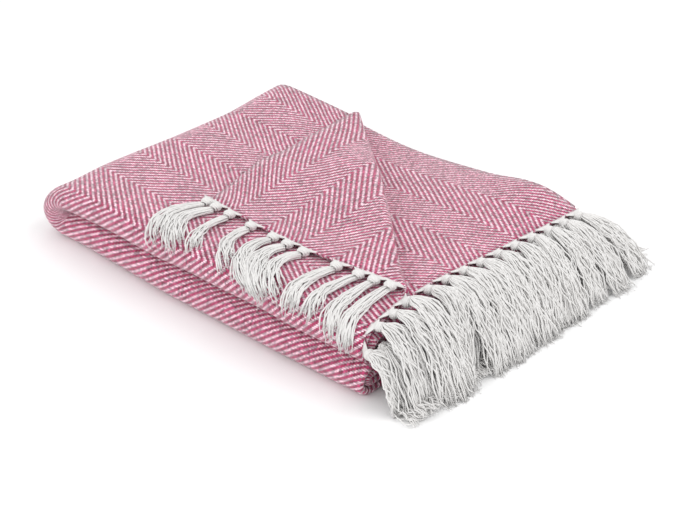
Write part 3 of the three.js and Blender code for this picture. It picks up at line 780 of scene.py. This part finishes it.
def yarn_twist_group():
    """Two plies twisted together: height across the twist, and slow changes of tone."""
    tree, b, given, out = new_group(
        "yarn twist",
        [("Yarn", "NodeSocketVector", None), ("Twist Length", "NodeSocketFloat", 0.0042)],
        [("Height", "NodeSocketFloat"), ("Tone", "NodeSocketFloat")],
    )
    split = b.node("ShaderNodeSeparateXYZ", {0: given["Yarn"]}).outputs
    along = b.math("DIVIDE", split["Y"], given["Twist Length"])
    turn = b.math("MULTIPLY", b.math("MULTIPLY_ADD", split["X"], 2.0, along), 2 * math.pi)
    b.join(b.math("MULTIPLY_ADD", b.math("SINE", turn), 0.5, 0.5), out["Height"])
    tone = b.node("ShaderNodeTexNoise", {"Vector": given["Yarn"], "Scale": 45.0, "Detail": 2.0})
    b.join(tone.outputs["Fac"], out["Tone"])
    return tree


def new_material(name):
    material = bpy.data.materials.new(name)
    material.use_nodes = True
    bench = NodeBench(material.node_tree)
    surface = material.node_tree.nodes["Principled BSDF"]
    return material, bench, surface


# Yarn colours, and the painted shade that darkens the gaps between threads: how much darker they are
WARP_WHITE = (0.94, 0.67, 0.76, 1)
WARP_GREY = (0.70, 0.40, 0.50, 1)
WEFT_PINK = (0.42, 0.030, 0.105, 1)
WEFT_PALE = (0.60, 0.085, 0.21, 1)
THREAD_SHADOW = (0.09, 0.010, 0.026, 1)
GAP_SHADE = 0.9
# Unevenness of tone: how much it spans, and its least
CROSSING_SPAN, CROSSING_LEAST = 0.90, 0.45
WASHED_SPAN, WASHED_LEAST = 0.30, 0.84
# Fringe yarn on the ridges of its twist, with painted shade in the grooves, and where it yellows, and the
# floor
FRINGE_LIT = (0.81, 0.80, 0.795, 1)
FRINGE_GROOVE_SHADE = (0.76, 0.75, 0.74, 1)
FRINGE_CREAM = (0.72, 0.70, 0.67, 1)
FLOOR_TONES = ((0.93, 0.93, 0.93, 1), (0.97, 0.97, 0.97, 1))


def herringbone_cotton(weave):
    material, b, surface = new_material("herringbone cotton")
    cloth = b.node("ShaderNodeUVMap", uv_map="weave").outputs["UV"]
    threads = b.node("ShaderNodeGroup", {"Cloth": cloth}, node_tree=weave).outputs
    pink = b.mix(threads["Pick Tone"], WEFT_PINK, WEFT_PALE)
    tone = b.math("MULTIPLY_ADD", threads["End Tone"], 0.10, 0.90)
    white = b.mix(tone, WARP_GREY, WARP_WHITE)
    colour = b.mix(threads["Warp"], pink, white)
    # Painted shade: where the weave is low, between threads, the colour is darkened towards THREAD_SHADOW
    depth = b.node(
        "ShaderNodeMapRange", {"Value": threads["Height"], "From Min": 0.35, "From Max": 1.4},
    ).outputs[0]
    shadow = b.mix(GAP_SHADE, colour, THREAD_SHADOW)
    colour = b.mix(depth, shadow, colour)
    washed = b.node("ShaderNodeTexNoise", {"Vector": cloth, "Scale": 26.0, "Detail": 3.0}).outputs["Fac"]
    washed = b.math("MULTIPLY_ADD", washed, WASHED_SPAN, WASHED_LEAST)
    uneven = b.math("MULTIPLY_ADD", threads["Crossing Tone"], CROSSING_SPAN, CROSSING_LEAST)
    washed = b.math("MULTIPLY", washed, uneven)
    brightness = b.node("ShaderNodeCombineXYZ", {0: washed, 1: washed, 2: washed}).outputs[0]
    colour = b.mix(1.0, colour, brightness, blend="MULTIPLY")
    b.join(colour, surface.inputs["Base Color"])
    fuzz = b.node("ShaderNodeTexNoise", {"Vector": cloth, "Scale": 1400.0, "Detail": 2.0}).outputs["Fac"]
    relief = b.math("MULTIPLY_ADD", fuzz, 0.25, threads["Height"])
    bump = b.node("ShaderNodeBump", {"Height": relief, "Distance": 0.00045, "Strength": 0.9})
    b.join(bump.outputs[0], surface.inputs["Normal"])
    surface.inputs["Roughness"].default_value = 0.92
    surface.inputs["Specular IOR Level"].default_value = 0.25
    surface.inputs["Sheen Weight"].default_value = 0.45
    surface.inputs["Sheen Roughness"].default_value = 0.5
    return material


def fringe_cotton(twist):
    material, b, surface = new_material("fringe cotton")
    yarn = b.node("ShaderNodeUVMap", uv_map="yarn").outputs["UV"]
    strand = b.node("ShaderNodeGroup", {"Yarn": yarn}, node_tree=twist).outputs
    # Painted shade: the twist's grooves are coloured darker than its lit ridges
    colour = b.mix(strand["Height"], FRINGE_GROOVE_SHADE, FRINGE_LIT)
    colour = b.mix(b.math("MULTIPLY", strand["Tone"], 0.4), colour, FRINGE_CREAM)
    b.join(colour, surface.inputs["Base Color"])
    bump = b.node("ShaderNodeBump", {"Height": strand["Height"], "Distance": 0.0002, "Strength": 0.4})
    b.join(bump.outputs[0], surface.inputs["Normal"])
    surface.inputs["Roughness"].default_value = 0.85
    surface.inputs["Specular IOR Level"].default_value = 0.3
    surface.inputs["Sheen Weight"].default_value = 0.3
    return material


def studio_floor():
    material, b, surface = new_material("studio floor")
    place_on = b.node("ShaderNodeTexCoord").outputs["Object"]
    grain = b.node("ShaderNodeTexNoise", {"Vector": place_on, "Scale": 3.0, "Detail": 2.0}).outputs["Fac"]
    colour = b.mix(grain, *FLOOR_TONES)
    b.join(colour, surface.inputs["Base Color"])
    surface.inputs["Roughness"].default_value = 0.9
    surface.inputs["Specular IOR Level"].default_value = 0.1
    return material


# Throw

# The pack frame's origin in the part's frame, from where the frame's cloth starts
pack_origin = np.zeros(3)
probe_u, probe_v = np.meshgrid(np.linspace(0, CLOTH_LENGTH, 400), np.linspace(0, CLOTH_WIDTH, 300))
probe = place(*outline(probe_u, probe_v), 0.0)
cloth_low, cloth_high = (np.array(corner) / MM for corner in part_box("blanket"))
probe_middle = (probe.min((0, 1)) + probe.max((0, 1))) / 2
pack_origin[:2] = (probe_middle - (cloth_low + cloth_high) / 2)[:2]

weave_group = herringbone_group()
twist_group = yarn_twist_group()
cotton = herringbone_cotton(weave_group)
fringe_yarn = fringe_cotton(twist_group)

throw = make_throw(cotton)
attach(throw, "root")
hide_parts("blanket")


def finish_fringe(yarns, name, node):
    piece = yarns.piece(name, fringe_yarn)
    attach(piece, "root")
    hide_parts(node)
    return piece


yarns = Yarns()
for tassel in FLAP_TASSELS:
    flap_tassel(yarns, tassel)
finish_fringe(yarns, "turned_back_corner_tassels", "fringe_flap")

# The two rows that show. A tassel has its knot's place, where its tips reach, its swing and curl
KNOTTED_ROW = dict(
    fall_x=438, level=0, curve=1.7, floor_x=None, half_widths=(8.5, 12.5, 14.5), wander=2.4,
    yarns=50, stations=18, sides=5, knot={}, frays=True,
)
FRONT_TASSELS = [(268, 488, 4, 0), (289, 484, 5, 2), (311, 474, 6, -2), (337, 460, 7, 0)]
SECOND_TASSELS = [
    (8, 492, 0, 4),
    (31, 497, 0, 2),
    (55, 492, 0, 5),
    (80, 494, 0, 0),
    (105, 490, 0, 3),
    (130, 493, 0, 0),
    (156, 489, 2, 2),
    (181, 492, 0, 3),
    (206, 489, -2, 2),
    (231, 478, -16, 7),
]
for name, node, end, tassels in [
    ("front_corner_tassels", "fringe_front", 1, FRONT_TASSELS),
    ("second_ply_tassels", "fringe_second", 2, SECOND_TASSELS),
]:
    row = dict(KNOTTED_ROW, end=end)
    yarns = Yarns()
    for v, end_x, swing, curl in tassels:
        falling_tassel(yarns, row, v, end_x, swing, curl)
    finish_fringe(yarns, name, node)

# Lower rows, from the top down: node, end of the cloth, knots from and to, where the yarns
# meet the heap on the floor, and how high the heap is there
LOWER_ROW = dict(
    fall_x=0, curve=1.6, half_widths=(6.0, 10.0, 14.0), wander=2.2,
    yarns=14, stations=12, sides=4, knot=dict(size=0.85, wraps=4, streaks=0, flat=0.5), frays=False,
)
LOWER_ROWS = [
    ("fringe_row_3", 2, 1018, 1330, 470, 5.8),
    ("fringe_row_4", 1, 1018, 1330, 470, 5.8),
    ("fringe_row_5", 1, 992, 681, 465, 2.9),
    ("fringe_row_6", 2, 992, 681, 465, 2.9),
    ("fringe_row_7", 2, 350, 659, 458, 0),
    ("fringe_row_8", 1, 350, 659, 458, 0),
]
LOWER_TASSELS = 13
LOWER_STAGGER = 6
LOWER_TIP_X, LOWER_TIP_SCATTER, LOWER_SWING = 484, 6, 3.0
for number, (node, end, first, last, floor_x, level) in enumerate(LOWER_ROWS):
    row = dict(LOWER_ROW, end=end, floor_x=floor_x, level=level)
    yarns = Yarns()
    for v in np.linspace(first, last, LOWER_TASSELS) + (LOWER_STAGGER if number % 2 else -LOWER_STAGGER):
        tip_x = LOWER_TIP_X + rng.uniform(-LOWER_TIP_SCATTER, LOWER_TIP_SCATTER)
        falling_tassel(yarns, row, v, tip_x, rng.normal(0, LOWER_SWING))
    finish_fringe(yarns, node + "_tassels", node)

# Studio

bpy.ops.mesh.primitive_plane_add(size=12)
floor = bpy.context.object
floor.name = "studio_floor"
floor.data.materials.append(studio_floor())

world = bpy.data.worlds.new("studio")
bpy.context.scene.world = world
world.use_nodes = True
world.node_tree.nodes["Background"].inputs["Color"].default_value = (1.0, 1.0, 1.0, 1)
world.node_tree.nodes["Background"].inputs["Strength"].default_value = 0.95


def add_softbox(name, at, aim, size, power):
    light = bpy.data.lights.new(name, "AREA")
    light.shape = "SQUARE"
    light.size = size
    light.energy = power
    lamp = bpy.data.objects.new(name, light)
    lamp.location = at
    lamp.rotation_euler = (Vector(aim) - Vector(at)).to_track_quat("-Z", "Y").to_euler()
    bpy.context.scene.collection.objects.link(lamp)


add_softbox("key softbox", (1.6, 0.6, 2.2), (0, 0, 0.03), 1.6, 19)
add_softbox("fill softbox", (-0.6, -2.4, 1.6), (0, 0, 0.03), 1.8, 17)

PHOTO_WIDTH = 700
FOCAL_PIXELS = 1372.5
SENSOR_WIDTH = 36.0
CAMERA_AT = np.array([1058.1, -715.9, 720.1])
CAMERA_AIM = np.array([302.7, 126.2, 35.6])

camera_data = bpy.data.cameras.new("camera")
camera_data.sensor_fit = "HORIZONTAL"
camera_data.sensor_width = SENSOR_WIDTH
camera_data.lens = FOCAL_PIXELS * SENSOR_WIDTH / PHOTO_WIDTH
camera_data.clip_start = 0.01
camera = bpy.data.objects.new("camera", camera_data)
camera.location = (CAMERA_AT - pack_origin) * MM
view = Vector((CAMERA_AIM - CAMERA_AT).tolist())
camera.rotation_euler = view.to_track_quat("-Z", "Y").to_euler()
bpy.context.scene.collection.objects.link(camera)
bpy.context.scene.camera = camera
bpy.context.scene.view_settings.view_transform = "Standard"
